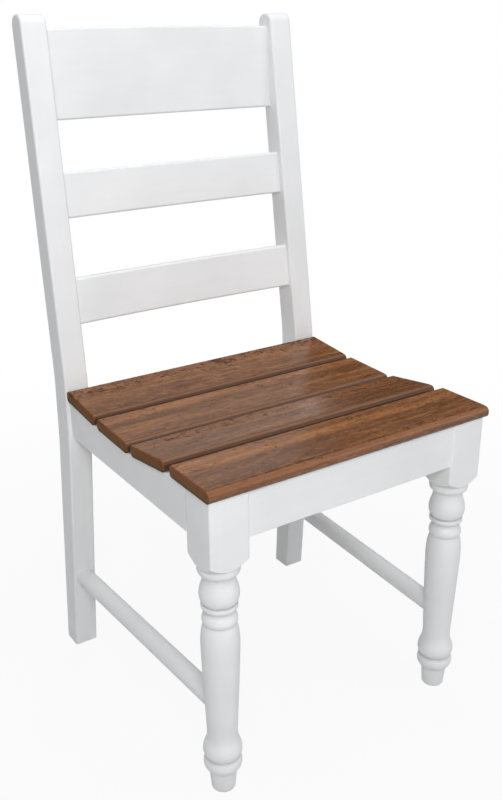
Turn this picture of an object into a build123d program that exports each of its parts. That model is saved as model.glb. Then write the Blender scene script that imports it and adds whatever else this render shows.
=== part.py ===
"""Ladder-back dining chair: turned front legs, bent rear legs, scooped seat of four boards.

Millimetres, +Z up. The chair faces -Y; left and right are as seen from the front, with +X to the right.
The origin is on the floor under the middle of the chair.
"""

import os
from collections import namedtuple
from math import cos, radians, sin, sqrt, tan

from build123d import *

# Overall sizes
frame_width = 451.0
seat_depth = 399.0
seat_height = 476.0
back_height = 987.0

# Seat boards from the front to the rear: tilt in degrees, rear edge up being positive, and the drop
# of the board's middle below the front board, which together make the scoop
SeatBoard = namedtuple("SeatBoard", "name tilt drop gap_behind")
seat_boards = (
    SeatBoard("seat_slat_front", 0.0, 0.0, 16.0),
    SeatBoard("seat_slat_second", -7.9, 8.2, 9.4),
    SeatBoard("seat_slat_third", 2.1, 14.8, 9.4),
    SeatBoard("seat_slat_rear", 5.6, 8.4, 2.6),
)
board_thickness = 16.0
board_front_overhang = 5.5
board_side_overhang = 4.0
board_front_round = 7.0
board_rear_round = 2.5
board_bottom_round = 6.0
board_end_round = 1.5
edge_step_height = 0.6
edge_step_inset = 9.0

# Front legs: square block above, turned below
leg_block = 57.0
block_arris = 3.0
block_below_apron = 26.0
shoulder_length = 13.5
collar_radius = 26.5
collar_length = 21.0
collar_band = 5.0
ball_top_radius = 21.6
ball_radius = 25.9
ball_foot_radius = 22.4
ball_length = 37.5
ring_radius = 23.5
ring_length = 12.5
ring_band = 4.5
neck_radius = 19.3
bead_radius = 23.2
bead_length = 18.5
column_top_radius = 21.9
belly_radius = 25.6
belly_drop = 23.0
column_middle_radius = 23.2
waist_radius = 19.9
waist_rise = 20.5
ankle_top_radius = 23.6
ankle_radius = 26.5
ankle_length = 29.0
foot_groove_radius = 23.4
foot_ring_radius = 26.0
foot_ring_length = 33.0
foot_ring_rise = 21.5
foot_top_radius = 18.3
foot_bottom_radius = 16.6
foot_length = 24.5
foot_edge_round = 2.0

# Rear legs: one bent piece from the floor to the top of the back, canted inward
rear_leg_width = 37.6
rear_leg_reveal = 5.0
rear_leg_cant = 0.95
rear_leg_lean = 7.4
rear_leg_rake = 4.8
seat_joint_depth = 41.5
rear_foot_depth = 37.2
post_top_depth = 34.0
post_top_round = 14.0
bend_radius = 250.0
bend_below_apron = 15.0
bend_above_seat = 2.0
rear_leg_arris = 3.5

# Aprons
apron_thickness = 20.0
apron_height = 64.5
front_apron_setback = 2.0
rear_apron_setback = 10.0
rear_apron_height = 56.0
apron_edge_round = 1.5

# Back slats from the top down: setback of the slat's lower front edge behind the front of the posts,
# how much more upright it stands than the posts in degrees, and the rise of its arched top edge
BackSlat = namedtuple("BackSlat", "name height gap_above setback upright arch")
back_slats = (
    BackSlat("crest_rail", 120.0, 19.0, 20.0, 4.0, 3.0),
    BackSlat("middle_back_slat", 64.5, 69.0, 10.0, 0.0, 0.0),
    BackSlat("lower_back_slat", 68.0, 84.5, 6.0, 0.0, 0.0),
)
back_slat_thickness = 15.0
back_slat_bow = 8.0
back_slat_edge_round = 3.0
back_slat_overlap = 5.0

# Side stretchers
stretcher_radius = 14.3
stretcher_height = 135.0
stretcher_tenon_radius = 8.0
stretcher_tenon_length = 22.0
stretcher_tenon_stop = 3.0

# Mortise and tenon joints
tenon_thickness = 9.0
tenon_shoulder = 10.0
tenon_root = 12.0
apron_tenon_length = 28.0
back_slat_tenon_length = 20.0
mortise_wall = 3.0
mortise_clearance = 0.15
mortise_floor_gap = 1.0

# Cleats, corner blocks and screws under the seat
cleat_width = 20.0
cleat_least_height = 26.0
cleat_end_gap = 1.0
corner_block_width = 25.0
corner_block_gap = 1.0
corner_block_leg_gap = 0.4
screw_radius = 2.2
screw_length = 32.0
screw_point_length = 5.0
screw_head_radius = 4.2
screw_head_height = 3.0
screw_clearance = 0.1
board_screw_bite = 10.0
cleat_screw_depths = (112.0, 200.0, 300.0)
cleat_screw_rise = 14.0
corner_screw_inset = 14.0

# Heights and places that follow from the sizes above; a depth is measured back from the front legs' face
leg_top = seat_height - board_thickness
apron_bottom = leg_top - apron_height
block_bottom = apron_bottom - block_below_apron
bend_low = apron_bottom - bend_below_apron
bend_high = seat_height + bend_above_seat
lean_slope = tan(radians(rear_leg_lean))
rake_slope = tan(radians(rear_leg_rake))
cant_slope = tan(radians(rear_leg_cant))
post_top_front = seat_depth + (back_height - bend_high) * lean_slope
front_y = (board_front_overhang - post_top_front - post_top_depth) / 2
frame_side = frame_width / 2
apron_inside = frame_side - apron_thickness
front_leg_inside = frame_side - leg_block
leg_x = frame_side - leg_block / 2
leg_y = front_y + leg_block / 2


def rear_leg_outside(height):
    """X of the right rear leg's outer face at a height."""
    return frame_side + rear_leg_reveal + (leg_top - height) * cant_slope


def rear_leg_inside(height):
    """X of the right rear leg's inner face at a height."""
    return rear_leg_outside(height) - rear_leg_width / cos(radians(rear_leg_cant))


def across(plane):
    """The mirror image of a right-hand plane on the left."""
    origin, x_dir, z_dir = plane.origin, plane.x_dir, plane.z_dir
    return Plane(
        (-origin.X, origin.Y, origin.Z), x_dir=(-x_dir.X, x_dir.Y, x_dir.Z), z_dir=(-z_dir.X, z_dir.Y, z_dir.Z)
    )


def both_sides(planes):
    """Right-hand planes and their mirror images."""
    return [*planes, *map(across, planes)]


def side_plane(x):
    """Upright plane along the chair at x, drawn as depth and height."""
    return Plane((x, front_y, 0), x_dir=(0, 1, 0), z_dir=(1, 0, 0))


def cross_plane(depth):
    """Upright plane across the chair at a depth, drawn as x and height and facing the front."""
    return Plane((0, front_y + depth, 0), x_dir=(1, 0, 0), z_dir=(0, -1, 0))


def save(piece, name):
    """Labels a finished piece and writes it."""
    piece.part.label = name
    export_step(piece.part, f"parts/{name}.step")


def save_pair(piece, name):
    """Writes a right-hand piece and its mirror image on the left."""
    save(piece, f"{name}_right")
    with BuildPart() as left_piece:
        mirror(piece.part, about=Plane.YZ)
    save(left_piece, f"{name}_left")


# A tenon grows out of its shoulder, on a plane at the shoulder that faces the leg
Tenon = namedtuple("Tenon", "plane height length")


def make_tenon(plane, tenon):
    """Adds a tenon, with its root inside the rail."""
    with BuildSketch(plane.offset(-tenon_root)) as profile:
        Rectangle(tenon_thickness, tenon.height)
    extrude(profile.sketch, amount=tenon_root + tenon.length)


def cut_mortise(tenon):
    """Cuts the mortise that takes a tenon, with clearance round it and at its floor."""
    with BuildSketch(tenon.plane.offset(-tenon_root)) as profile:
        Rectangle(tenon_thickness + 2 * mortise_clearance, tenon.height + 2 * mortise_clearance)
    extrude(profile.sketch, amount=tenon_root + tenon.length + mortise_floor_gap, mode=Mode.SUBTRACT)


def drill(plane, radius, depth):
    """Cuts a round hole from a plane, along its normal."""
    with BuildSketch(plane) as profile:
        Circle(radius)
    extrude(profile.sketch, amount=depth, mode=Mode.SUBTRACT)


def drill_for_shank(seat):
    """Cuts the hole for a screw's shank."""
    drill(seat, screw_radius + screw_clearance, screw_length + screw_clearance)


def drill_for_screw(seat):
    """Cuts the hole for a screw's shank and the open pocket for its head."""
    drill_for_shank(seat)
    drill(seat, screw_head_radius + screw_clearance, -screw_length)


def make_screw(seat):
    """Adds a pan-head wood screw with the underside of its head on a seat."""
    with BuildSketch(Plane(seat.origin, x_dir=seat.x_dir, z_dir=-seat.y_dir)) as profile:
        with BuildLine():
            Polyline(
                (0, -screw_head_height),
                (screw_head_radius, -screw_head_height),
                (screw_head_radius, 0),
                (screw_radius, 0),
                (screw_radius, screw_length - screw_point_length),
                (0, screw_length),
                close=True,
            )
        make_face()
    revolve(profile.sketch, axis=Axis(seat.origin, seat.z_dir))


# Seat boards: equal widths that fill the seat's depth between the gaps
board_room = seat_depth + board_front_overhang - sum(board.gap_behind for board in seat_boards)
board_width = board_room / sum(cos(radians(board.tilt)) for board in seat_boards)
BoardPlace = namedtuple("BoardPlace", "name tilt depth top front_under rear_under")
board_places = []
front_edge = -board_front_overhang
for board in seat_boards:
    level = cos(radians(board.tilt))
    climb = sin(radians(board.tilt))
    depth = front_edge + board_width * level / 2
    top = seat_height - board.drop
    under_depth = depth + board_thickness * climb
    under_height = top - board_thickness * level
    front_under = (under_depth - board_width * level / 2, under_height - board_width * climb / 2)
    rear_under = (under_depth + board_width * level / 2, under_height + board_width * climb / 2)
    board_places.append(BoardPlace(board.name, board.tilt, depth, top, front_under, rear_under))
    front_edge += board_width * level + board.gap_behind


def under_board(place, depth):
    """Height at a depth on the line of a board's underside."""
    start_depth, start_height = place.front_under
    return start_height + (depth - start_depth) * tan(radians(place.tilt))


def scooped_edge(front_depth, rear_depth):
    """Points from the rear to the front along the edge that carries the boards."""
    points = [(rear_depth, under_board(board_places[-1], rear_depth))]
    for rear_place, front_place in zip(board_places[:0:-1], board_places[-2::-1]):
        points += [rear_place.front_under, front_place.rear_under]
    points.append((front_depth, under_board(board_places[0], front_depth)))
    return points


# Joints of the aprons with the right-hand legs
apron_middle = (leg_top + apron_bottom) / 2
apron_tenon_height = apron_height - 2 * tenon_shoulder
front_apron_y = front_y + front_apron_setback
front_apron_tenon = Tenon(
    Plane(
        (front_leg_inside, front_apron_y + apron_thickness / 2, apron_middle), x_dir=(0, 1, 0), z_dir=(1, 0, 0)
    ),
    apron_tenon_height,
    apron_tenon_length,
)
side_tenon_x = frame_side - apron_thickness / 2
side_front_tenon = Tenon(
    Plane((side_tenon_x, front_y + leg_block, apron_middle), x_dir=(-1, 0, 0), z_dir=(0, -1, 0)),
    apron_tenon_height,
    apron_tenon_length,
)
side_rear_top = under_board(board_places[-1], seat_depth)
side_rear_tenon = Tenon(
    Plane(
        (side_tenon_x, front_y + seat_depth, (side_rear_top + apron_bottom) / 2), x_dir=(1, 0, 0), z_dir=(0, 1, 0)
    ),
    side_rear_top - apron_bottom - 2 * tenon_shoulder,
    apron_tenon_length,
)
rear_apron_y = front_y + seat_depth + rear_apron_setback
rear_apron_middle = apron_bottom + rear_apron_height / 2
rear_apron_shoulder = rear_leg_inside(rear_apron_middle)
rear_apron_tenon = Tenon(
    Plane(
        (rear_apron_shoulder, rear_apron_y + apron_thickness / 2, rear_apron_middle),
        x_dir=(0, 1, 0),
        z_dir=(1, 0, 0),
    ),
    rear_apron_height - 2 * tenon_shoulder,
    side_tenon_x - tenon_thickness / 2 - mortise_wall - rear_apron_shoulder,
)

# Back slats: the middle of each slat's lower front edge, its upward and backward directions, and its
# joint with the right-hand post
SlatPlace = namedtuple("SlatPlace", "slat base up back tenon")
slat_places = []
slat_top = back_height
for slat in back_slats:
    slat_lean = radians(rear_leg_lean - slat.upright)
    slat_up = Vector(0, sin(slat_lean), cos(slat_lean))
    slat_back = Vector(0, cos(slat_lean), -sin(slat_lean))
    slat_top -= slat.gap_above
    slat_bottom = slat_top - slat.height * slat_up.Z
    post_front = seat_depth + (slat_bottom - bend_high) * lean_slope
    slat_front = post_front + slat.setback / cos(radians(rear_leg_lean))
    slat_base = Vector(0, front_y + slat_front, slat_bottom)
    slat_middle = slat_base + slat_up * (slat.height / 2) + slat_back * (back_slat_thickness / 2)
    slat_shoulder = Vector(rear_leg_inside(slat_middle.Z), slat_middle.Y, slat_middle.Z)
    slat_tenon = Tenon(
        Plane(slat_shoulder, x_dir=slat_back, z_dir=(1, 0, 0)),
        slat.height - 2 * tenon_shoulder,
        back_slat_tenon_length,
    )
    slat_places.append(SlatPlace(slat, slat_base, slat_up, slat_back, slat_tenon))
    slat_top = slat_bottom

# Right-hand stretcher: from the front leg's axis to the middle of the rear leg's raked front face
stretcher_start = Vector(leg_x, leg_y, stretcher_height)
stretcher_end = Vector(
    rear_leg_outside(stretcher_height) - rear_leg_width / 2,
    front_y + seat_depth + (bend_low - stretcher_height) * rake_slope,
    stretcher_height,
)
stretcher_span = (stretcher_end - stretcher_start).length
stretcher_plane = Plane(stretcher_start, z_dir=stretcher_end - stretcher_start)

# Right-hand cleat and its screws: each seat is under a screw's head and faces the way it is driven
lowest_under = min(min(place.front_under[1], place.rear_under[1]) for place in board_places)
cleat_bottom = lowest_under - cleat_least_height
cleat_front = leg_block + cleat_end_gap
cleat_rear = seat_depth - cleat_end_gap
board_screw_seats = []
for place in board_places:
    screw_depth = (max(place.front_under[0], cleat_front) + place.rear_under[0]) / 2
    screw_tip = under_board(place, screw_depth) + board_screw_bite
    board_screw_seats.append(
        Plane((apron_inside - cleat_width / 2, front_y + screw_depth, screw_tip - screw_length))
    )
cleat_screw_x = apron_inside - cleat_width + screw_head_height
cleat_screw_seats = [
    Plane((cleat_screw_x, front_y + depth, cleat_bottom + cleat_screw_rise), x_dir=(0, 1, 0), z_dir=(1, 0, 0))
    for depth in cleat_screw_depths
]

# Right-hand corner blocks: diagonal bars between the aprons, clear of the leg's inner edge; the reach is
# from the corner along an apron to the bar's outer face, and toward is the way from the corner into the seat
corner_bottom = apron_bottom + corner_block_gap
corner_height = cleat_bottom - corner_block_gap - corner_bottom
corner_face = corner_block_width * sqrt(2)
CornerBlock = namedtuple("CornerBlock", "name corner_y toward reach")
front_corner_y = front_apron_y + apron_thickness
front_corner = CornerBlock(
    "corner_block_front",
    front_corner_y,
    1,
    apron_inside - front_leg_inside + front_y + leg_block - front_corner_y + corner_block_leg_gap * sqrt(2),
)
rear_corner = CornerBlock(
    "corner_block_rear",
    rear_apron_y,
    -1,
    apron_inside - rear_leg_inside(corner_bottom) + rear_apron_setback + corner_block_leg_gap * sqrt(2),
)


def corner_screw_seats(block):
    """Seats of a corner block's two screws: into the side apron, then into the front or rear apron."""
    drive = Vector(1, -block.toward, 0).normalized()
    inset = corner_screw_inset / sqrt(2)
    inner_reach = block.reach + corner_face
    seats = []
    for from_side in (inset, inner_reach - inset):
        face_spot = Vector(
            apron_inside - from_side,
            block.corner_y + block.toward * (inner_reach - from_side),
            corner_bottom + corner_height / 2,
        )
        seats.append(Plane(face_spot + drive * screw_head_height, x_dir=(0, 0, 1), z_dir=drive))
    return seats


front_corner_side_seat, front_corner_rail_seat = corner_screw_seats(front_corner)
rear_corner_side_seat, rear_corner_rail_seat = corner_screw_seats(rear_corner)
corner_seats = [front_corner_side_seat, front_corner_rail_seat, rear_corner_side_seat, rear_corner_rail_seat]

os.makedirs("parts", exist_ok=True)

# Right front leg before its joints: turned shaft, then the block with its turned shoulder
turning_plane = Plane((leg_x, leg_y, 0), x_dir=(1, 0, 0), z_dir=(0, -1, 0))
turning_axis = Axis((leg_x, leg_y, 0), (0, 0, 1))
foot_groove_level = foot_length + foot_ring_length
ankle_top = foot_groove_level + ankle_length
waist_level = ankle_top + waist_rise
collar_top = block_bottom - shoulder_length
ball_top = collar_top - collar_length
ring_top = ball_top - ball_length
neck_level = ring_top - ring_length
column_top = neck_level - bead_length
belly_level = column_top - belly_drop
block_corner_radius = leg_block / sqrt(2)
with BuildPart() as front_leg_blank:
    with BuildSketch(turning_plane):
        with BuildLine():
            foot = FilletPolyline(
                (0, collar_top),
                (0, 0),
                (foot_bottom_radius, 0),
                (foot_top_radius, foot_length),
                radius=(0, foot_edge_round),
            )
            foot_ring = ThreePointArc(
                foot @ 1,
                (foot_ring_radius, foot_length + foot_ring_rise),
                (foot_groove_radius, foot_groove_level),
            )
            ankle = ThreePointArc(
                foot_ring @ 1,
                (ankle_radius, foot_groove_level + ankle_length / 2),
                (ankle_top_radius, ankle_top),
            )
            cove = TangentArc((waist_radius, waist_level), ankle @ 1, tangent=(0, -1))
            column = Spline(
                cove @ 0,
                (column_middle_radius, (waist_level + belly_level) / 2),
                (belly_radius, belly_level),
                tangents=((0, 1), (0, 1)),
            )
            column_head = TangentArc(column @ 1, (column_top_radius, column_top), tangent=(0, 1))
            bead = ThreePointArc(
                column_head @ 1, (bead_radius, column_top + bead_length / 2), (neck_radius, neck_level)
            )
            ring_flare = TangentArc((ring_radius, ring_top - ring_band), bead @ 1, tangent=(0, -1))
            ring = Polyline(ring_flare @ 0, (ring_radius, ring_top), (ball_foot_radius, ring_top))
            ball = ThreePointArc(
                ring @ 1, (ball_radius, ring_top + ball_length / 2), (ball_top_radius, ball_top)
            )
            collar_flare = TangentArc((collar_radius, collar_top - collar_band), ball @ 1, tangent=(0, -1))
            Polyline(collar_flare @ 0, (collar_radius, collar_top), (0, collar_top))
        make_face()
    revolve(axis=turning_axis)
    with BuildSketch(Plane((leg_x, leg_y, collar_top))):
        RectangleRounded(leg_block, leg_block, block_arris)
    extrude(amount=leg_top - collar_top)
    with BuildSketch(turning_plane):
        with BuildLine():
            Polyline(
                (collar_radius, collar_top),
                (block_corner_radius, block_bottom),
                (block_corner_radius, collar_top),
                close=True,
            )
        make_face()
    revolve(axis=turning_axis, mode=Mode.SUBTRACT)

# Right rear leg before its joints: a bent outline on the canted plane of its outer face
rear_leg_plane = Plane(
    (rear_leg_outside(0), front_y, 0),
    x_dir=(0, 1, 0),
    z_dir=(cos(radians(rear_leg_cant)), 0, sin(radians(rear_leg_cant))),
)
rear_leg_inner_plane = rear_leg_plane.offset(-rear_leg_width)
foot_sink = rear_leg_width * cant_slope + rear_leg_arris
foot_front = seat_depth + (bend_low + foot_sink) * rake_slope
with BuildPart() as rear_leg_blank:
    with BuildSketch(rear_leg_plane):
        with BuildLine():
            FilletPolyline(
                (foot_front, -foot_sink),
                (seat_depth, bend_low),
                (seat_depth, bend_high),
                (post_top_front, back_height),
                (post_top_front + post_top_depth, back_height),
                (seat_depth + seat_joint_depth, bend_high),
                (seat_depth + seat_joint_depth, bend_low),
                (foot_front + rear_foot_depth, -foot_sink),
                radius=(
                    0,
                    bend_radius,
                    bend_radius,
                    post_top_round,
                    post_top_round,
                    bend_radius,
                    bend_radius,
                    0,
                ),
                close=True,
            )
        make_face()
    extrude(amount=-rear_leg_width)
    leg_side_edges = faces().filter_by(rear_leg_plane).edges()
    fillet(leg_side_edges.filter_by_position(Axis.Z, 0, back_height), radius=rear_leg_arris)
    split(bisect_by=Plane.XY, keep=Keep.TOP)

# Front legs, with mortises for the aprons and a round one for the stretcher
stretcher_hole_radius = stretcher_tenon_radius + mortise_clearance
with BuildPart() as front_leg:
    add(front_leg_blank.part)
    cut_mortise(front_apron_tenon)
    cut_mortise(side_front_tenon)
    drill(stretcher_plane.offset(stretcher_tenon_stop - mortise_floor_gap), stretcher_hole_radius, leg_block)
save_pair(front_leg, "front_leg")

# Rear legs, with mortises for the aprons and back slats and a round one for the stretcher
with BuildPart() as rear_leg:
    add(rear_leg_blank.part)
    cut_mortise(side_rear_tenon)
    cut_mortise(rear_apron_tenon)
    for place in slat_places:
        cut_mortise(place.tenon)
    drill(
        stretcher_plane.offset(stretcher_span - tenon_root),
        stretcher_hole_radius,
        tenon_root + stretcher_tenon_length + mortise_floor_gap,
    )
save_pair(rear_leg, "rear_leg")

# Stretchers, coped to the turned leg in front and to the raked leg behind
with BuildPart() as stretcher:
    with BuildSketch(stretcher_plane):
        Circle(stretcher_radius)
    extrude(amount=stretcher_span + stretcher_tenon_length)
    add(front_leg_blank.part, mode=Mode.SUBTRACT)
    add(rear_leg_blank.part, mode=Mode.SUBTRACT)
    with BuildSketch(stretcher_plane.offset(stretcher_tenon_stop)):
        Circle(stretcher_tenon_radius)
    extrude(amount=stretcher_span + stretcher_tenon_length - stretcher_tenon_stop)
save_pair(stretcher, "stretcher")

# Front apron between the blocks of the front legs
with BuildPart() as front_apron:
    with BuildSketch(cross_plane(front_apron_setback)):
        with Locations((0, apron_middle)):
            Rectangle(2 * front_leg_inside, apron_height)
    extrude(amount=-apron_thickness)
    fillet(edges().filter_by(Axis.X).group_by(Axis.Z)[0], radius=apron_edge_round)
    for plane in both_sides([front_apron_tenon.plane]):
        make_tenon(plane, front_apron_tenon)
    for seat in both_sides([front_corner_rail_seat]):
        drill_for_shank(seat)
save(front_apron, "front_apron")

# Rear apron between the rear legs, its shoulders cut to their canted inner faces
with BuildPart() as rear_apron:
    with BuildSketch(cross_plane(seat_depth + rear_apron_setback)):
        with Locations((0, rear_apron_middle)):
            Rectangle(2 * rear_apron_shoulder + 2 * tenon_root, rear_apron_height)
    extrude(amount=-apron_thickness)
    fillet(edges().filter_by(Axis.X), radius=apron_edge_round)
    for plane in both_sides([rear_leg_inner_plane]):
        split(bisect_by=plane, keep=Keep.BOTTOM)
    for plane in both_sides([rear_apron_tenon.plane]):
        make_tenon(plane, rear_apron_tenon)
    for seat in both_sides([rear_corner_rail_seat]):
        drill_for_shank(seat)
save(rear_apron, "rear_apron")

# Side aprons, with the scooped edge on top
with BuildPart() as side_apron:
    with BuildSketch(side_plane(frame_side)):
        with BuildLine():
            Polyline(
                (leg_block, apron_bottom),
                (seat_depth, apron_bottom),
                *scooped_edge(leg_block, seat_depth),
                close=True,
            )
        make_face()
    extrude(amount=-apron_thickness)
    fillet(edges().filter_by(Axis.Y).group_by(Axis.Z)[0], radius=apron_edge_round)
    make_tenon(side_front_tenon.plane, side_front_tenon)
    make_tenon(side_rear_tenon.plane, side_rear_tenon)
    for seat in (*cleat_screw_seats, front_corner_side_seat, rear_corner_side_seat):
        drill_for_shank(seat)
save_pair(side_apron, "side_apron")

# Cleats along the side aprons, with the same scooped edge
with BuildPart() as seat_cleat:
    with BuildSketch(side_plane(apron_inside)):
        with BuildLine():
            Polyline(
                (cleat_front, cleat_bottom),
                (cleat_rear, cleat_bottom),
                *scooped_edge(cleat_front, cleat_rear),
                close=True,
            )
        make_face()
    extrude(amount=-cleat_width)
    for seat in (*board_screw_seats, *cleat_screw_seats):
        drill_for_screw(seat)
save_pair(seat_cleat, "seat_cleat")

# Corner blocks
for block, seats in (
    (front_corner, (front_corner_side_seat, front_corner_rail_seat)),
    (rear_corner, (rear_corner_side_seat, rear_corner_rail_seat)),
):
    inner_reach = block.reach + corner_face
    with BuildPart() as corner_block:
        with BuildSketch(Plane((apron_inside, block.corner_y, corner_bottom))):
            Polygon(
                (-block.reach, 0),
                (-inner_reach, 0),
                (0, block.toward * inner_reach),
                (0, block.toward * block.reach),
                align=None,
            )
        extrude(amount=corner_height)
        for seat in seats:
            drill_for_screw(seat)
    save_pair(corner_block, block.name)

# Seat boards, each on its own tilt: a section with rounded edges, the small step that the rounding cutter
# leaves above the front one, and blind holes below for the screws
step_width = board_width - edge_step_inset - board_rear_round
board_half_length = frame_width / 2 + board_side_overhang
for place, seat in zip(board_places, board_screw_seats):
    tilt = radians(place.tilt)
    board_plane = Plane(
        (0, front_y + place.depth, place.top), x_dir=(0, cos(tilt), sin(tilt)), z_dir=(1, 0, 0)
    )
    with BuildPart() as seat_board:
        with BuildSketch(board_plane):
            with Locations((0, -edge_step_height)):
                Rectangle(board_width, board_thickness - edge_step_height, align=(Align.CENTER, Align.MAX))
            fillet(vertices().group_by(Axis.Y)[-1].sort_by(Axis.X)[0], radius=board_front_round)
            fillet(vertices().group_by(Axis.Y)[-1].sort_by(Axis.X)[-1], radius=board_rear_round)
            fillet(vertices().group_by(Axis.Y)[0], radius=board_bottom_round)
        extrude(amount=board_half_length, both=True)
        fillet(faces().filter_by(Axis.X).edges(), radius=board_end_round)
        with BuildSketch(board_plane):
            with Locations((edge_step_inset - board_width / 2, 0)):
                Rectangle(step_width, edge_step_height, align=(Align.MIN, Align.MAX))
        extrude(amount=board_half_length - board_end_round, both=True)
        for screw_seat in both_sides([seat]):
            drill_for_shank(screw_seat)
    save(seat_board, place.name)

# Back slats: a rounded section carried along the bow, deeper in the middle where the top edge is arched,
# and shouldered to the canted posts
for place in slat_places:
    half_length = place.tenon.plane.origin.X + back_slat_overlap
    with BuildPart() as back_slat:
        for x, bow, arch in ((-half_length, 0, 0), (0, back_slat_bow, place.slat.arch), (half_length, 0, 0)):
            height = place.slat.height + arch
            middle = place.base + place.back * (bow + back_slat_thickness / 2) + place.up * (height / 2)
            with BuildSketch(Plane(middle + Vector(x, 0, 0), x_dir=place.back, z_dir=(1, 0, 0))):
                RectangleRounded(back_slat_thickness, height, back_slat_edge_round)
        loft()
        for plane in both_sides([rear_leg_inner_plane]):
            split(bisect_by=plane, keep=Keep.BOTTOM)
        for plane in both_sides([place.tenon.plane]):
            make_tenon(plane, place.tenon)
    save(back_slat, place.slat.name)

# Screws, in groups of identical ones
for name, seats in (
    ("slat_screws", board_screw_seats),
    ("cleat_screws", cleat_screw_seats),
    ("corner_block_screws", corner_seats),
):
    with BuildPart() as screws:
        for seat in both_sides(seats):
            make_screw(seat)
    save(screws, name)
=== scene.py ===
from math import cos, radians, sin

import bmesh
import bpy
from mathutils import Matrix, Vector
from mathutils.geometry import interpolate_bezier


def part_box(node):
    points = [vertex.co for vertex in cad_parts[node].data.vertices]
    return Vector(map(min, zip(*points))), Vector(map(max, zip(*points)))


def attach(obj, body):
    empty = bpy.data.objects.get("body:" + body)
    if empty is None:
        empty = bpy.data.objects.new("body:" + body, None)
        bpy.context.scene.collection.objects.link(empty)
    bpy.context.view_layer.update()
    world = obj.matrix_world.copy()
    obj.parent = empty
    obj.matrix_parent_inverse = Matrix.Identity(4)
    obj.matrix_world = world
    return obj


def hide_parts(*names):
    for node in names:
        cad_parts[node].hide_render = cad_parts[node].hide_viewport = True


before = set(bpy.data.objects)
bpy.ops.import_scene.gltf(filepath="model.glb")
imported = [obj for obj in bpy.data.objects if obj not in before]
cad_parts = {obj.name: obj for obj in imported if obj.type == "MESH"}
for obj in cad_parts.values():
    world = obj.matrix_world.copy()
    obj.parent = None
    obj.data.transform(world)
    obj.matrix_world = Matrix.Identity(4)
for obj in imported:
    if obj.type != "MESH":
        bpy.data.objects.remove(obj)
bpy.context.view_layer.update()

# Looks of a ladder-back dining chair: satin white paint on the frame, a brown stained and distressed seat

millimetre = 0.001

# Seat boards from the front to the rear: tilt in degrees, where in the tree it was cut, how far behind its
# middle the light sapwood begins in millimetres, how worn its front and rear edges are and how much lacquer is
# left on it. Some also have a darker stain, dark glaze left in the step, their own colour of the front rounding
# (rubbed stain on the front board, where the others keep a painted sheen) and their own painted shade low on it
seat_boards = {
    "seat_slat_front": dict(
        tilt=0.0, cut_at=0.0, sapwood=18, front_wear=0.08, rear_wear=0.06, lacquer=0.36,
        stain=0.04, glaze=0.6, edge="#7f4f2d", painted_rounding_shade=0.0,
    ),
    "seat_slat_second": dict(
        tilt=-7.9, cut_at=3.7, sapwood=60, front_wear=0.0, rear_wear=0.16, lacquer=0.27,
    ),
    "seat_slat_third": dict(
        tilt=2.1, cut_at=8.1, sapwood=24, front_wear=0.05, rear_wear=0.1, lacquer=0.3, stain=0.01,
    ),
    "seat_slat_rear": dict(
        tilt=5.6, cut_at=12.9, sapwood=60, front_wear=0.04, rear_wear=0.19, lacquer=0.25,
    ),
}

# From the middle of a board to its end, to its long edge and to the step behind the rounding, in millimetres
half_board_length = 229.5
half_board_width = 46.06
edge_step = half_board_width - 9.0

# Turning of the front legs from the foot up, heights and radii in millimetres: edge of the foot, foot, foot
# ring, ankle with column, bead, ring, ball and collar. Each run is one flowing curve, and runs meet at a sharp
# edge
leg_middle = (197.0, -218.3)
leg_turning = (
    ((0.0, 15.6), (1.6, 16.7)),
    ((1.6, 16.7), (33.0, 19.2)),
    ((33.0, 19.2), (35.6, 22.9), (40.5, 25.8), (45.5, 26.5), (51.2, 25.4), (55.6, 21.9)),
    (
        (55.6, 21.9), (58.8, 25.1), (65.5, 26.8), (72.0, 26.2), (78.0, 24.3), (84.0, 22.3), (90.0, 21.2),
        (98.0, 20.9), (112.0, 21.4), (140.0, 22.5), (170.0, 23.8), (200.0, 24.9), (225.0, 25.6),
        (242.0, 25.8), (254.0, 25.0), (263.0, 23.5), (270.0, 21.2),
    ),
    (
        (270.0, 21.2), (272.4, 23.0), (276.8, 23.6), (281.2, 22.4), (285.0, 20.2), (288.0, 19.0),
        (291.0, 19.5), (293.2, 21.4), (294.4, 23.9),
    ),
    ((294.4, 23.9), (297.0, 24.2), (299.6, 23.5), (300.8, 21.6)),
    (
        (300.8, 21.6), (303.6, 23.8), (308.6, 25.6), (314.6, 26.2), (321.0, 25.4), (327.0, 23.7),
        (332.4, 22.1), (337.4, 21.5), (341.6, 22.1), (344.8, 23.8), (346.4, 26.5),
    ),
    ((346.4, 26.5), (348.6, 27.5), (352.0, 27.8), (355.8, 27.4), (358.4, 27.1)),
)
turning_steps = 5
leg_sides = 72
leg_crease = radians(30)

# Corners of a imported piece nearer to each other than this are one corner
same_corner = 0.002 * millimetre

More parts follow.
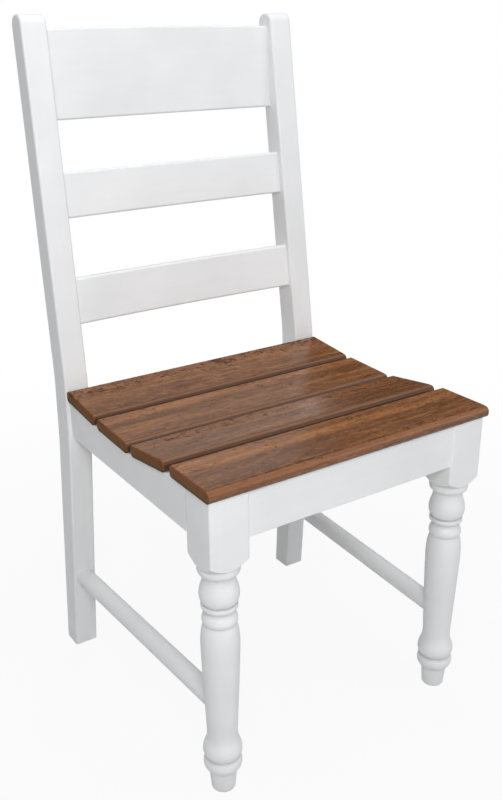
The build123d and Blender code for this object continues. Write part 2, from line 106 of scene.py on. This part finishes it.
# Screws: head, shank and cross recess, and the seats under the heads on the right with the way they are driven
head_radius = 4.2 * millimetre
head_height = 3.0 * millimetre
shank_radius = 2.2 * millimetre
screw_length = 32 * millimetre
point_length = 5 * millimetre
dome_rounding = 1.7 * millimetre
recess_size = (4.4 * millimetre, 0.9 * millimetre, 3.2 * millimetre)
screw_sides = 24
screw_crease = radians(35)
screw_seats = {
    "slat_screws": [
        ((0.1955, -0.17449, 0.43800), (0, 0, 1)),
        ((0.1955, -0.10076, 0.42995), (0, 0, 1)),
        ((0.1955, 0.00307, 0.42321), (0, 0, 1)),
        ((0.1955, 0.10532, 0.42968), (0, 0, 1)),
    ],
    "cleat_screws": [
        ((0.1885, -0.1348, 0.43152), (1, 0, 0)),
        ((0.1885, -0.0468, 0.43152), (1, 0, 0)),
        ((0.1885, 0.0532, 0.43152), (1, 0, 0)),
    ],
    "corner_block_screws": [
        ((0.19772, -0.12890, 0.40651), (1, -1, 0)),
        ((0.10960, -0.21703, 0.40651), (1, -1, 0)),
        ((0.19772, 0.11674, 0.40651), (1, 1, 0)),
        ((0.16005, 0.15442, 0.40651), (1, 1, 0)),
    ],
}


def colour(hex_value):
    """Linear colour of an sRGB hex value."""
    levels = [int(hex_value[place:place + 2], 16) / 255 for place in (1, 3, 5)]
    return (*[level / 12.92 if level <= 0.04045 else ((level + 0.055) / 1.055) ** 2.4 for level in levels], 1)


def per_mm(*sizes):
    """Scale of a pattern whose features are these sizes in millimetres along x, y and z."""
    return [1 / (size * millimetre) for size in sizes]


def add(tree, kind, links=(), out="", stops=(), **settings):
    """Adds a node and gives an output of it: links fill its sockets with values or with other nodes' outputs,
    and stops are a ramp's places and colours."""
    made = tree.nodes.new(kind)
    for name, value in settings.items():
        setattr(made, name, value)
    if stops:
        marks = made.color_ramp.elements
        while len(marks) < len(stops):
            marks.new(0.5)
        for mark, (place, shade) in zip(marks, stops):
            mark.position = place
            mark.color = colour(shade)
    for socket, value in dict(links).items():
        if isinstance(value, bpy.types.NodeSocket):
            tree.links.new(value, made.inputs[socket])
        else:
            made.inputs[socket].default_value = value
    if out:
        return made.outputs[out]
    return next((socket for socket in made.outputs if socket.enabled), None)


def new_material(name):
    """An empty material, and its node tree."""
    material = bpy.data.materials.new(name)
    material.use_nodes = True
    material.node_tree.nodes.clear()
    return material, material.node_tree


def painted_hardwood(name, *brush_mark):
    """Satin white paint brushed on hardwood: a clean white that is a little thinner here and there, with
    painted shade greying it down in the turned grooves, brush marks along the piece, a trace of roller texture
    and a soft even sheen. The brush marks are drawn a few times wider than real ones, so that they show."""
    material, tree = new_material(name)
    place = add(tree, "ShaderNodeTexCoord", out="Object")
    along = add(tree, "ShaderNodeMapping", {"Vector": place, "Scale": per_mm(*brush_mark)})
    brushed = add(tree, "ShaderNodeTexNoise", {"Vector": along, "Scale": 1.0, "Detail": 4.0, "Roughness": 0.6})
    thinned = add(tree, "ShaderNodeTexNoise", {"Vector": place, "Scale": 1 / (90 * millimetre), "Detail": 2.0})
    rolled = add(tree, "ShaderNodeTexNoise", {"Vector": place, "Scale": 1 / (2.5 * millimetre), "Detail": 1.0})
    film = add(tree, "ShaderNodeMath", {0: brushed, 1: 0.35, 2: thinned}, operation="MULTIPLY_ADD")
    shade = add(tree, "ShaderNodeValToRGB", {"Fac": film}, stops=((0.35, "#e7e9eb"), (0.95, "#f1f2f4")))
    # Painted shade: the white turns grey where the piece's own ambient occlusion finds a groove or crease
    openness = add(tree, "ShaderNodeAmbientOcclusion", {"Distance": 9 * millimetre}, out="AO", only_local=True)
    painted_crease_shade = add(
        tree,
        "ShaderNodeMapRange",
        {"Value": openness, "From Min": 0.97, "From Max": 0.67, "To Min": 0.0, "To Max": 0.6},
    )
    # The painted shade in grooves and creases is mixed in here
    shade = add(tree, "ShaderNodeMix", {"Factor": painted_crease_shade, "A": shade, "B": colour("#a4a7aa")}, data_type="RGBA")
    sheen = add(
        tree,
        "ShaderNodeMapRange",
        {"Value": brushed, "From Min": 0.3, "From Max": 0.7, "To Min": 0.38, "To Max": 0.5},
    )
    marks = add(tree, "ShaderNodeMath", {0: rolled, 1: 0.4, 2: brushed}, operation="MULTIPLY_ADD")
    relief = add(tree, "ShaderNodeBump", {"Height": marks, "Strength": 0.25, "Distance": 0.12 * millimetre})
    paint = add(
        tree,
        "ShaderNodeBsdfPrincipled",
        {"Base Color": shade, "Roughness": sheen, "Normal": relief, "IOR": 1.48},
    )
    add(tree, "ShaderNodeOutputMaterial", {"Surface": paint})
    return material


def stained_board(
    name, middle, tilt, cut_at, sapwood, front_wear, rear_wear, lacquer,
    # By default the rounding's colour is a painted sheen, lighter than the wood, and the last number is how
    # strong the painted shade low on the rounding is
    stain=0.0, glaze=0.0, edge="#7c5942", painted_rounding_shade=1.25,
):
    """Brown stained hardwood, distressed and lacquered: soft streaks, a lighter band of sapwood, short dark and
    light squiggles, flecks that crowd towards the worn edges, dark glaze left in the step, rubbed roundings
    that mostly carry a painted sheen and a painted shade low on them, a painted shade under the boards mixed
    with dark glaze, warm brown ends and a satin lacquer. Grain and flecks are drawn wider than real ones, so
    that they show."""
    material, tree = new_material(name)
    place = add(tree, "ShaderNodeTexCoord", out="Object")
    on_board = add(
        tree,
        "ShaderNodeMapping",
        {"Vector": place, "Location": middle, "Rotation": (radians(tilt), 0, 0)},
        vector_type="TEXTURE",
    )
    in_mm = add(tree, "ShaderNodeVectorMath", {0: on_board, "Scale": 1 / millimetre}, operation="SCALE")
    split = add(tree, "ShaderNodeSeparateXYZ", {"Vector": in_mm}).node.outputs
    from_middle = add(tree, "ShaderNodeMath", {0: split["X"]}, operation="ABSOLUTE")

    # Noise drawn out along the grain: length and width of its features in millimetres, its detail and its bends
    drawn = {}
    for pattern, length, width, detail, bends in (
        ("bands", 320, 13, 2.0, 0.5),
        ("strands", 110, 4.5, 3.0, 0.5),
        ("squiggles", 22, 4.4, 1.0, 1.6),
        ("patches", 60, 20, 2.0, 0.5),
        ("flecks", 9, 3.6, 2.0, 0.8),
        ("breaks", 16, 50, 1.0, 0.5),
    ):
        stretched = add(
            tree,
            "ShaderNodeMapping",
            {
                "Vector": on_board,
                "Scale": per_mm(length, width, width),
                "Location": (cut_at, 4 * len(drawn), cut_at),
            },
        )
        drawn[pattern] = add(
            tree,
            "ShaderNodeTexNoise",
            {"Vector": stretched, "Scale": 1.0, "Detail": detail, "Roughness": 0.6, "Distortion": bends},
        )

    # Masks: what they follow, where they begin, where they are full and how strong they are there
    wavy = add(tree, "ShaderNodeMath", {0: drawn["bands"], 1: 16.0, 2: split["Y"]}, operation="MULTIPLY_ADD")
    mask = {}
    for part, followed, begin, full, strength in (
        ("sapwood", wavy, sapwood + 3, sapwood + 9, 0.11),
        ("dark_squiggles", drawn["squiggles"], 0.56, 0.62, 0.6),
        ("light_squiggles", drawn["squiggles"], 0.41, 0.35, 0.45),
        ("top_side", split["Z"], 4.5, 7.0, 1.0),
        ("high_on_end", split["Z"], 0.5, 4.0, 1.0),
        ("rounding", split["Y"], 3.0 - edge_step, -0.5 - edge_step, 0.7),
        ("above_bottom", split["Z"], -3.0, 4.0, 1.0),
        # Painted shade low on the rounding, where the board in front shades the gap
        ("low_on_edge", split["Z"], 7.3, 5.0, painted_rounding_shade),
        # Painted shade under the boards, partly dark glaze
        ("underside", split["Z"], -2.0, -7.5, 0.75),
        ("ends", from_middle, half_board_length - 2.5, half_board_length - 0.5, 0.9),
        ("front_crowd", split["Y"], 34.0 - half_board_width, -edge_step, front_wear),
        ("rear_crowd", split["Y"], half_board_width - 50.0, half_board_width - 20.0, rear_wear),
        ("rear_rub", split["Y"], half_board_width - 50.0, half_board_width - 12.0, 1.5 * rear_wear),
        ("left_glaze", drawn["breaks"], 0.46, 0.56, glaze),
        ("cloudy", drawn["patches"], 0.3, 0.7, 0.08),
    ):
        mask[part] = add(
            tree,
            "ShaderNodeMapRange",
            {"Value": followed, "From Min": begin, "From Max": full, "To Min": 0.0, "To Max": strength},
            interpolation_type="SMOOTHSTEP",
        )
    rubbed_and_sheen_rounding = add(tree, "ShaderNodeMath", {0: mask["rounding"], 1: mask["above_bottom"]}, operation="MULTIPLY")
    painted_shade_low_on_rounding = add(
        tree, "ShaderNodeMath", {0: mask["rounding"], 1: mask["low_on_edge"]}, operation="MULTIPLY"
    )
    end_band = add(tree, "ShaderNodeMath", {0: mask["ends"], 1: mask["high_on_end"]}, operation="MULTIPLY")

    # Flecks where two patterns are both high, more of them towards the edges, and glaze left in the step
    crowd = add(tree, "ShaderNodeMath", {0: mask["front_crowd"], 1: mask["rear_crowd"]}, operation="ADD")
    clusters = add(tree, "ShaderNodeMath", {0: drawn["patches"], 1: 0.5, 2: crowd}, operation="MULTIPLY_ADD")
    fleck_level = add(tree, "ShaderNodeMath", {0: drawn["flecks"], 1: clusters}, operation="ADD")
    flecked = add(
        tree,
        "ShaderNodeMapRange",
        {"Value": fleck_level, "From Min": 0.96, "From Max": 1.01, "To Min": 0.0, "To Max": 0.9},
        interpolation_type="SMOOTHSTEP",
    )
    at_step = add(tree, "ShaderNodeMath", {0: split["Y"], 1: -edge_step, 2: 1.6}, operation="COMPARE")
    in_step = add(tree, "ShaderNodeMath", {0: at_step, 1: mask["left_glaze"]}, operation="MULTIPLY")
    marked = add(tree, "ShaderNodeMath", {0: flecked, 1: in_step}, operation="MAXIMUM")
    dark = add(tree, "ShaderNodeMath", {0: marked, 1: mask["top_side"]}, operation="MULTIPLY")

    # Colours: the stain's own tones, then each mask with what it turns the wood to, painted sheen and shade
    # among them
    streaky = add(tree, "ShaderNodeMix", {"Factor": 0.42, "A": drawn["bands"], "B": drawn["strands"]})
    tone = add(tree, "ShaderNodeMath", {0: streaky, 1: mask["sapwood"]}, operation="ADD")
    shade = add(
        tree,
        "ShaderNodeValToRGB",
        {"Fac": tone},
        stops=(
            (0.30 + stain, "#583a25"),
            (0.46 + stain, "#734b30"),
            (0.54 + stain, "#835738"),
            (0.70 + stain, "#a46f44"),
        ),
    )
    for tint_mask, tint in (
        (mask["dark_squiggles"], "#4a2f1b"),
        (mask["light_squiggles"], "#9c7250"),
        (mask["rear_rub"], "#9a5f33"),
        # Rounding: rubbed orange stain on the front board, and on the other boards a painted sheen that matches
        # their lit tops
        (rubbed_and_sheen_rounding, edge),
        # Painted shade low on the rounding, in the gap between the boards
        (painted_shade_low_on_rounding, "#432815"),
        (mask["ends"], "#664325"),
        (end_band, "#6f3f17"),
        (dark, "#3d2410"),
        # Painted shade under the boards, mixed with dark glaze
        (mask["underside"], "#2b1a0f"),
    ):
        shade = add(
            tree, "ShaderNodeMix", {"Factor": tint_mask, "A": shade, "B": colour(tint)}, data_type="RGBA"
        )

    # Relief and gloss: flecks are shallow dents, and they, the rubbed rounding and the ends are duller than the
    # lacquered top
    raised = add(
        tree,
        "ShaderNodeMath",
        {0: drawn["squiggles"], 1: 0.5, 2: drawn["strands"]},
        operation="MULTIPLY_ADD",
    )
    depth = add(tree, "ShaderNodeMath", {0: raised, 1: dark}, operation="SUBTRACT")
    relief = add(tree, "ShaderNodeBump", {"Height": depth, "Strength": 0.35, "Distance": 0.2 * millimetre})
    satin = add(tree, "ShaderNodeMath", {0: mask["cloudy"], 1: 0.22}, operation="ADD")
    dulled = add(tree, "ShaderNodeMath", {0: dark, 1: 0.4, 2: satin}, operation="MULTIPLY_ADD")
    worn = add(tree, "ShaderNodeMath", {0: rubbed_and_sheen_rounding, 1: 0.15, 2: dulled}, operation="MULTIPLY_ADD")
    gloss = add(tree, "ShaderNodeMath", {0: mask["ends"], 1: 0.55, 2: worn}, operation="MULTIPLY_ADD")
    wood = add(
        tree,
        "ShaderNodeBsdfPrincipled",
        {
            "Base Color": shade,
            "Roughness": gloss,
            "Normal": relief,
            "IOR": 1.5,
            "Specular IOR Level": lacquer,
        },
    )
    add(tree, "ShaderNodeOutputMaterial", {"Surface": wood})
    return material


def planed_beech(name):
    """Bare planed beech inside the seat frame: pale pinkish tan, soft bands and short dark flecks."""
    material, tree = new_material(name)
    place = add(tree, "ShaderNodeTexCoord", out="Object")
    along = add(tree, "ShaderNodeMapping", {"Vector": place, "Scale": per_mm(14, 140, 14)})
    bands = add(tree, "ShaderNodeTexNoise", {"Vector": along, "Scale": 1.0, "Detail": 3.0})
    fleck_place = add(tree, "ShaderNodeMapping", {"Vector": place, "Scale": per_mm(1.2, 6, 1.2)})
    flecks = add(tree, "ShaderNodeTexNoise", {"Vector": fleck_place, "Scale": 1.0, "Detail": 1.0})
    shade = add(tree, "ShaderNodeValToRGB", {"Fac": bands}, stops=((0.3, "#b58a60"), (0.7, "#d0a87c")))
    amount = add(
        tree, "ShaderNodeMapRange", {"Value": flecks, "From Min": 0.6, "From Max": 0.75, "To Max": 0.4}
    )
    shade = add(tree, "ShaderNodeMix", {"Factor": amount, "A": shade, "B": colour("#8d6440")}, data_type="RGBA")
    relief = add(tree, "ShaderNodeBump", {"Height": flecks, "Strength": 0.3, "Distance": 0.1 * millimetre})
    wood = add(tree, "ShaderNodeBsdfPrincipled", {"Base Color": shade, "Roughness": 0.62, "Normal": relief})
    add(tree, "ShaderNodeOutputMaterial", {"Surface": wood})
    return material


def zinc_plate(name):
    """Zinc-plated steel: a bluish bright metal with cloudy patches."""
    material, tree = new_material(name)
    place = add(tree, "ShaderNodeTexCoord", out="Object")
    clouds = add(tree, "ShaderNodeTexNoise", {"Vector": place, "Scale": 1 / (2 * millimetre), "Detail": 2.0})
    shade = add(tree, "ShaderNodeValToRGB", {"Fac": clouds}, stops=((0.3, "#a9adb0"), (0.7, "#c6c9ca")))
    blur = add(tree, "ShaderNodeMapRange", {"Value": clouds, "To Min": 0.22, "To Max": 0.45})
    metal = add(tree, "ShaderNodeBsdfPrincipled", {"Base Color": shade, "Metallic": 1.0, "Roughness": blur})
    add(tree, "ShaderNodeOutputMaterial", {"Surface": metal})
    return material


def finish_node(name, material):
    """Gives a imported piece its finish."""
    for material_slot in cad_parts[name].material_slots:
        material_slot.material = material


def turned_outline():
    """Places on the outline of the turned leg from the foot up, as height and radius in millimetres."""
    outline = []
    for run in leg_turning:
        knots = [Vector(place) for place in (run[0], *run, run[-1])]
        for before, low, high, after in zip(knots, knots[1:], knots[2:], knots[3:]):
            handles = low + (high - before) / 6, high - (after - low) / 6
            outline += interpolate_bezier(low, *handles, high, turning_steps + 1)[:-1]
    return outline + [knots[-1]]


def cut_leg_block():
    """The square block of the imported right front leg, cut off level with the top of the turning."""
    bpy.ops.object.select_all(action="DESELECT")
    block = bpy.data.objects.new("front_leg_block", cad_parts["front_leg_right"].data.copy())
    bpy.context.scene.collection.objects.link(block)
    block.select_set(True)
    bpy.context.view_layer.objects.active = block
    bpy.ops.mesh.customdata_custom_splitnormals_clear()
    bpy.ops.object.mode_set(mode="EDIT")
    bpy.ops.mesh.select_all(action="SELECT")
    bpy.ops.mesh.remove_doubles(threshold=same_corner)
    turning_top = leg_turning[-1][-1][0] * millimetre
    bpy.ops.mesh.bisect(plane_co=(0, 0, turning_top), plane_no=(0, 0, 1), use_fill=True, clear_inner=True)
    bpy.ops.object.mode_set(mode="OBJECT")
    return block


def turn_front_leg():
    """The right front leg: a column drawn up ring by ring along its outline, under the square block."""
    block = cut_leg_block()
    outline = turned_outline()
    middle = [place * millimetre for place in leg_middle]
    bpy.ops.object.select_all(action="DESELECT")
    bpy.ops.mesh.primitive_circle_add(
        vertices=leg_sides, radius=outline[0][1] * millimetre, fill_type="NGON", location=(*middle, 0)
    )
    leg = bpy.context.object
    leg.name = leg.data.name = "front_leg_right_turned"
    bpy.ops.object.transform_apply()
    bpy.ops.object.mode_set(mode="EDIT")
    bpy.ops.mesh.select_all(action="SELECT")
    for (height, radius), (next_height, next_radius) in zip(outline, outline[1:]):
        rise = (next_height - height) * millimetre
        grown = next_radius / radius
        bpy.ops.mesh.extrude_region_move(TRANSFORM_OT_translate={"value": (0, 0, rise)})
        bpy.ops.transform.resize(value=(grown, grown, 1))
    bpy.ops.mesh.select_all(action="SELECT")
    bpy.ops.mesh.normals_make_consistent(inside=False)
    bpy.ops.object.mode_set(mode="OBJECT")
    block.select_set(True)
    bpy.ops.object.join()
    bpy.ops.object.shade_smooth_by_angle(angle=leg_crease)
    return leg


def mirror_leg(leg):
    """The left front leg, a mirrored copy with its own mesh."""
    other = bpy.data.objects.new("front_leg_left_turned", leg.data.copy())
    other.data.transform(Matrix.Scale(-1, 4, (1, 0, 0)))
    other.data.flip_normals()
    bpy.context.scene.collection.objects.link(other)
    return other


def pick(kind, chosen):
    """Selects the faces or edges, in edit mode, whose middle passes a test."""
    mesh = bmesh.from_edit_mesh(bpy.context.object.data)
    bpy.ops.mesh.select_mode(type=kind)
    bpy.ops.mesh.select_all(action="DESELECT")
    for part in mesh.faces if kind == "FACE" else mesh.edges:
        middle = sum((corner.co for corner in part.verts), Vector()) / len(part.verts)
        part.select_set(chosen(middle))
    mesh.select_flush_mode()
    bmesh.update_edit_mesh(bpy.context.object.data)


def model_screw():
    """A pan-head wood screw on the origin, driven along +Z: domed head, cross recess, shank and point."""
    bpy.ops.object.select_all(action="DESELECT")
    bpy.ops.mesh.primitive_cylinder_add(
        vertices=screw_sides, radius=head_radius, depth=head_height, location=(0, 0, -head_height / 2)
    )
    screw = bpy.context.object
    bpy.ops.object.transform_apply()
    bpy.ops.object.mode_set(mode="EDIT")
    pick("FACE", lambda middle: middle.z > -0.01 * millimetre)
    bpy.ops.mesh.inset(thickness=head_radius - shank_radius)
    bpy.ops.mesh.extrude_region_move(TRANSFORM_OT_translate={"value": (0, 0, screw_length - point_length)})
    bpy.ops.mesh.extrude_region_move(TRANSFORM_OT_translate={"value": (0, 0, point_length)})
    bpy.ops.mesh.merge(type="COLLAPSE")
    pick("EDGE", lambda middle: middle.z < -head_height * 0.99)
    bpy.ops.mesh.bevel(offset=dome_rounding, segments=4)
    bpy.ops.object.mode_set(mode="OBJECT")
    for turned in (0, radians(90)):
        bpy.ops.mesh.primitive_cube_add(size=1, location=(0, 0, -head_height), rotation=(0, 0, turned))
        blade = bpy.context.object
        blade.scale = recess_size
        bpy.ops.object.transform_apply()
        recess = screw.modifiers.new("recess", "BOOLEAN")
        recess.operation = "DIFFERENCE"
        recess.object = blade
        bpy.context.view_layer.objects.active = screw
        bpy.ops.object.modifier_apply(modifier="recess")
        bpy.data.objects.remove(blade)
    return screw


def set_screws(screw, name, seats, material):
    """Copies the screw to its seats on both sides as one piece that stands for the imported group."""
    copies = []
    for (x, y, z), (drive_x, drive_y, drive_z) in seats:
        for side in (1, -1):
            copy = screw.copy()
            copy.data = screw.data.copy()
            drive = Vector((side * drive_x, drive_y, drive_z)).to_track_quat("Z", "Y")
            copy.data.transform(Matrix.Translation((side * x, y, z)) @ drive.to_matrix().to_4x4())
            bpy.context.scene.collection.objects.link(copy)
            copies.append(copy)
    bpy.ops.object.select_all(action="DESELECT")
    for copy in copies:
        copy.select_set(True)
    bpy.context.view_layer.objects.active = copies[0]
    bpy.ops.object.join()
    group = copies[0]
    group.name = f"{name}_with_recess"
    bpy.ops.object.shade_smooth_by_angle(angle=screw_crease)
    group.data.materials.clear()
    group.data.materials.append(material)
    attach(group, "root")
    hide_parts(name)


def seen_directly(tree):
    """1 for the camera and for reflections, 0 for the light thrown on other things."""
    rays = add(tree, "ShaderNodeLightPath").node.outputs
    seen = add(
        tree, "ShaderNodeMath", {0: rays["Is Camera Ray"], 1: rays["Is Glossy Ray"]}, operation="MAXIMUM"
    )
    return add(tree, "ShaderNodeMath", {0: seen, 1: rays["Is Transmission Ray"]}, operation="MAXIMUM")


def soft_lamp(name, place, target, width, height, watts, mirrored=True):
    """A soft lamp that faces a target, and that may be kept out of reflections."""
    lamp_data = bpy.data.lights.new(name, "AREA")
    lamp_data.shape = "RECTANGLE"
    lamp_data.size = width
    lamp_data.size_y = height
    lamp_data.energy = watts
    lamp = bpy.data.objects.new(name, lamp_data)
    facing = (Vector(target) - Vector(place)).to_track_quat("-Z", "Y").to_matrix().to_4x4()
    lamp.matrix_world = Matrix.Translation(place) @ facing
    lamp.visible_camera = False
    lamp.visible_glossy = mirrored
    bpy.context.scene.collection.objects.link(lamp)


def hang_curtain(name, middle, turned, width, height, *shades):
    """A curtain in soft folds behind the chair, seen only as a reflection."""
    bpy.ops.object.select_all(action="DESELECT")
    bpy.ops.mesh.primitive_plane_add(size=1, location=middle, rotation=(radians(90), 0, radians(turned)))
    curtain = bpy.context.object
    curtain.name = name
    curtain.scale = (width, height, 1)
    bpy.ops.object.transform_apply()
    material, tree = new_material(f"{name}_cloth")
    place = add(tree, "ShaderNodeTexCoord", out="Object")
    hanging = add(tree, "ShaderNodeMapping", {"Vector": place, "Scale": per_mm(60, 60, 2000)})
    folds = add(tree, "ShaderNodeTexNoise", {"Vector": hanging, "Scale": 1.0, "Detail": 1.0})
    shade = add(tree, "ShaderNodeValToRGB", {"Fac": folds}, stops=tuple(zip((0.35, 0.65), shades)))
    cloth = add(tree, "ShaderNodeBsdfDiffuse", {"Color": shade})
    add(tree, "ShaderNodeOutputMaterial", {"Surface": cloth})
    curtain.data.materials.append(material)
    curtain.visible_camera = False
    curtain.visible_diffuse = False
    curtain.visible_shadow = False


# Chair: paint with its brush marks along each piece, stained boards, bare wood inside and screws
upright_paint = painted_hardwood("satin_white_paint_upright", 9, 9, 220)
crosswise_paint = painted_hardwood("satin_white_paint_crosswise", 220, 9, 9)
lengthwise_paint = painted_hardwood("satin_white_paint_lengthwise", 9, 220, 9)
for node_name in ("rear_leg_left", "rear_leg_right"):
    finish_node(node_name, upright_paint)
right_leg = turn_front_leg()
left_leg = mirror_leg(right_leg)
for leg, packed_leg in ((right_leg, "front_leg_right"), (left_leg, "front_leg_left")):
    leg.data.materials.clear()
    leg.data.materials.append(upright_paint)
    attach(leg, "root")
    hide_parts(packed_leg)
for node_name in ("front_apron", "rear_apron", "crest_rail", "middle_back_slat", "lower_back_slat"):
    finish_node(node_name, crosswise_paint)
for node_name in ("side_apron_left", "side_apron_right", "stretcher_left", "stretcher_right"):
    finish_node(node_name, lengthwise_paint)
for board, board_looks in seat_boards.items():
    board_low, board_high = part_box(board)
    board_wood = "brown_stained_hardwood_" + board.removeprefix("seat_slat_")
    finish_node(board, stained_board(board_wood, (board_low + board_high) / 2, **board_looks))
inner_wood = planed_beech("planed_beech")
for node_name in (
    "seat_cleat_left",
    "seat_cleat_right",
    "corner_block_front_left",
    "corner_block_front_right",
    "corner_block_rear_left",
    "corner_block_rear_right",
):
    finish_node(node_name, inner_wood)
screw_steel = zinc_plate("zinc_plated_steel")
one_screw = model_screw()
for screw_group, group_seats in screw_seats.items():
    set_screws(one_screw, screw_group, group_seats, screw_steel)
bpy.data.objects.remove(one_screw)

# Floor: pale, near white where it is seen, with the chair's shadow, and white far from the chair
bpy.ops.object.select_all(action="DESELECT")
bpy.ops.mesh.primitive_plane_add(size=40, location=(0, 0, 0))
floor = bpy.context.object
floor.name = "floor"
floor_material, floor_tree = new_material("pale_studio_floor")
floor_place = add(floor_tree, "ShaderNodeTexCoord", out="Object")
distance = add(floor_tree, "ShaderNodeVectorMath", {0: floor_place}, out="Value", operation="LENGTH")
whitened = add(
    floor_tree,
    "ShaderNodeMapRange",
    {"Value": distance, "From Min": 0.35, "From Max": 1.6, "To Min": 0.92, "To Max": 1.0},
    interpolation_type="SMOOTHSTEP",
)
white_share = add(
    floor_tree, "ShaderNodeMath", {0: seen_directly(floor_tree), 1: whitened}, operation="MULTIPLY"
)
floor_paint = add(floor_tree, "ShaderNodeBsdfDiffuse", {"Color": colour("#c8c8c6")})
floor_white = add(floor_tree, "ShaderNodeEmission", {"Color": (1, 1, 1, 1), "Strength": 1.0})
floor_mix = add(floor_tree, "ShaderNodeMixShader", {0: white_share, 1: floor_paint, 2: floor_white})
add(floor_tree, "ShaderNodeOutputMaterial", {"Surface": floor_mix})
floor.data.materials.append(floor_material)

# Room: soft even light, white where it is seen
room = bpy.data.worlds.new("studio")
bpy.context.scene.world = room
room.use_nodes = True
room.node_tree.nodes.clear()
soft_light = add(room.node_tree, "ShaderNodeBackground", {"Color": (1, 1, 1, 1), "Strength": 0.32})
white_wall = add(room.node_tree, "ShaderNodeBackground", {"Color": (1, 1, 1, 1), "Strength": 1.0})
room_mix = add(
    room.node_tree, "ShaderNodeMixShader", {0: seen_directly(room.node_tree), 1: soft_light, 2: white_wall}
)
add(room.node_tree, "ShaderNodeOutputWorld", {"Surface": room_mix})

# Lamps with their place, what they face, their width and height in metres and their watts
soft_lamp("lamp_by_camera", (-0.75, -1.2, 1.25), (0, 0, 0.5), 0.6, 0.6, 13)
soft_lamp("front_right_lamp", (1.3, -1.7, 1.4), (0, 0, 0.5), 1.0, 1.0, 7.9)
soft_lamp("ceiling_lamp", (0.0, -0.1, 2.4), (0, 0, 0.5), 1.2, 1.2, 12)
soft_lamp("rear_lamp", (0.75, 1.55, 1.6), (0, 0, 0.5), 1.0, 1.0, 10, mirrored=False)

# Curtains behind the chair: the seat mirrors a dark one on the right and a pale one on the left
hang_curtain("dark_curtain", (1.78, 0.80, 1.02), -44, 1.75, 2.0, "#2a2a2b", "#3a3a3b")
hang_curtain("pale_curtain", (0.25, 1.75, 1.2), -14.7, 1.97, 2.4, "#dededc", "#ededeb")

# Camera at the photo's place: focal length and shift in pixels of the long side, turned right, down and rolled
image_height = 800
focal = 924.4
shift_right, shift_up = 9.85, 9.16
camera_place = (-0.7070, -1.0591, 0.9708)
turn, down, roll = radians(33.0007), radians(22.6043), radians(-0.6687)
ahead = Vector((sin(turn) * cos(down), cos(turn) * cos(down), -sin(down)))
level = Vector((cos(turn), -sin(turn), 0))
above = level.cross(ahead)
right = level * cos(roll) + above * sin(roll)
upward = above * cos(roll) - level * sin(roll)
camera_data = bpy.data.cameras.new("camera")
camera_data.lens = focal / image_height * camera_data.sensor_width
camera_data.shift_x = shift_right / image_height
camera_data.shift_y = shift_up / image_height
camera = bpy.data.objects.new("camera", camera_data)
camera_turn = Matrix((right, upward, -ahead)).transposed().to_4x4()
camera.matrix_world = Matrix.Translation(camera_place) @ camera_turn
bpy.context.scene.collection.objects.link(camera)
bpy.context.scene.camera = camera
bpy.context.scene.view_settings.view_transform = "Standard"
